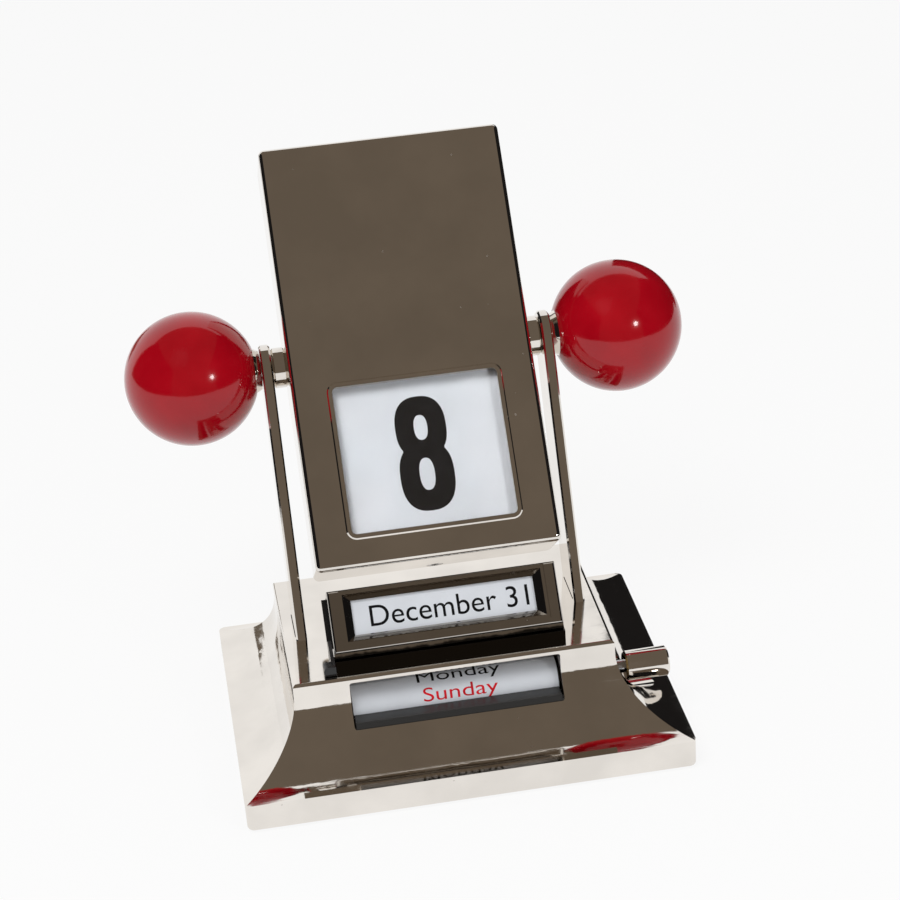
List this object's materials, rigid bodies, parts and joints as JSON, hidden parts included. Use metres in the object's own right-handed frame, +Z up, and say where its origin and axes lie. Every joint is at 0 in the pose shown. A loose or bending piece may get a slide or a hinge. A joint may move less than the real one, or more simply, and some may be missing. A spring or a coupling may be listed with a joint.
{
  "type": "perpetual desk calendar",
  "caption": "Plated desk calendar: tilting case that flips over on an axle with ball handles, sliding date plates, month cards in a side tray and a weekday drum turned by a knob",
  "frame": {"origin": "under the middle of the base, on the surface it stands on", "axes": "+X along the flip axle to the knob's side, +Y to the back, +Z up"},
  "size_m": [0.1286, 0.1029, 0.1226],
  "materials": {
    "plated_casting": "polished nickel plate on a zinc casting",
    "plated_case": "polished nickel plate on pressed brass",
    "plated_upright": "polished nickel plate",
    "plated_knob": "polished nickel plate, turned",
    "steel_plate": "plain",
    "steel_screws": "bright zinc",
    "steel_shaft": "ground",
    "felt": "dark felt",
    "clear_pane": "clear acrylic sheet",
    "white_plate": "white, printed black numerals",
    "white_card": "white card, printed",
    "white_plastic": "white moulded",
    "printed_band": "white printed label, satin",
    "brass_bush": "turned",
    "black_plastic": "black moulded",
    "guide_plastic": "black moulded",
    "red_ball": "deep red, high gloss"
  },
  "bodies": {
    "root": {"base_casting": "plated_casting", "base_plate": "steel_plate", "base_felt": "felt", "base_screws": "steel_screws", "upright_screws": "steel_screws", "month_holder": "plated_casting", "holder_screws": "steel_screws", "weekday_bush": "brass_bush", "spring_washer": "steel_shaft", "left_upright": "plated_upright", "left_bush": "brass_bush", "right_upright": "plated_upright", "right_bush": "brass_bush"},
    "flip_case": {"case_front": "plated_case", "case_back": "plated_case", "case_screws": "steel_screws", "front_pane": "clear_pane", "back_pane": "clear_pane", "left_guide": "guide_plastic", "left_axle": "steel_shaft", "left_collar": "plated_knob", "left_washer": "plated_knob", "left_ball": "red_ball", "left_ball_insert": "brass_bush", "right_guide": "guide_plastic", "right_axle": "steel_shaft", "right_collar": "plated_knob", "right_washer": "plated_knob", "right_ball": "red_ball", "right_ball_insert": "brass_bush"},
    "date_stack": {"front_date_plate": "white_plate", "date_plates": "white_plate"},
    "month_tray": {"card_tray": "black_plastic", "front_month_card": "white_card", "month_cards": "white_card"},
    "weekday_roll": {"weekday_drum": "white_plastic", "weekday_band": "printed_band", "weekday_shaft": "steel_shaft", "weekday_knob": "plated_knob", "knob_grub_screw": "steel_screws"}
  },
  "joints": [
    {"name": "case_flip", "type": "hinge", "parent": "root", "child": "flip_case", "pos_m": [0, 0.02894, 0.0786], "axis": [1, 0, 0], "continuous": true},
    {"name": "plates_drop", "type": "slide", "parent": "flip_case", "child": "date_stack", "axis": [0, 0.5976, 0.8018], "range_m": [0, 0.0455]},
    {"name": "tray_slide", "type": "slide", "parent": "root", "child": "month_tray", "axis": [-1, 0, 0], "range_m": [0, 0.042]},
    {"name": "weekday_turn", "type": "hinge", "parent": "root", "child": "weekday_roll", "pos_m": [0, -0.0131, 0.0132], "axis": [1, 0, 0], "continuous": true}
  ]
}
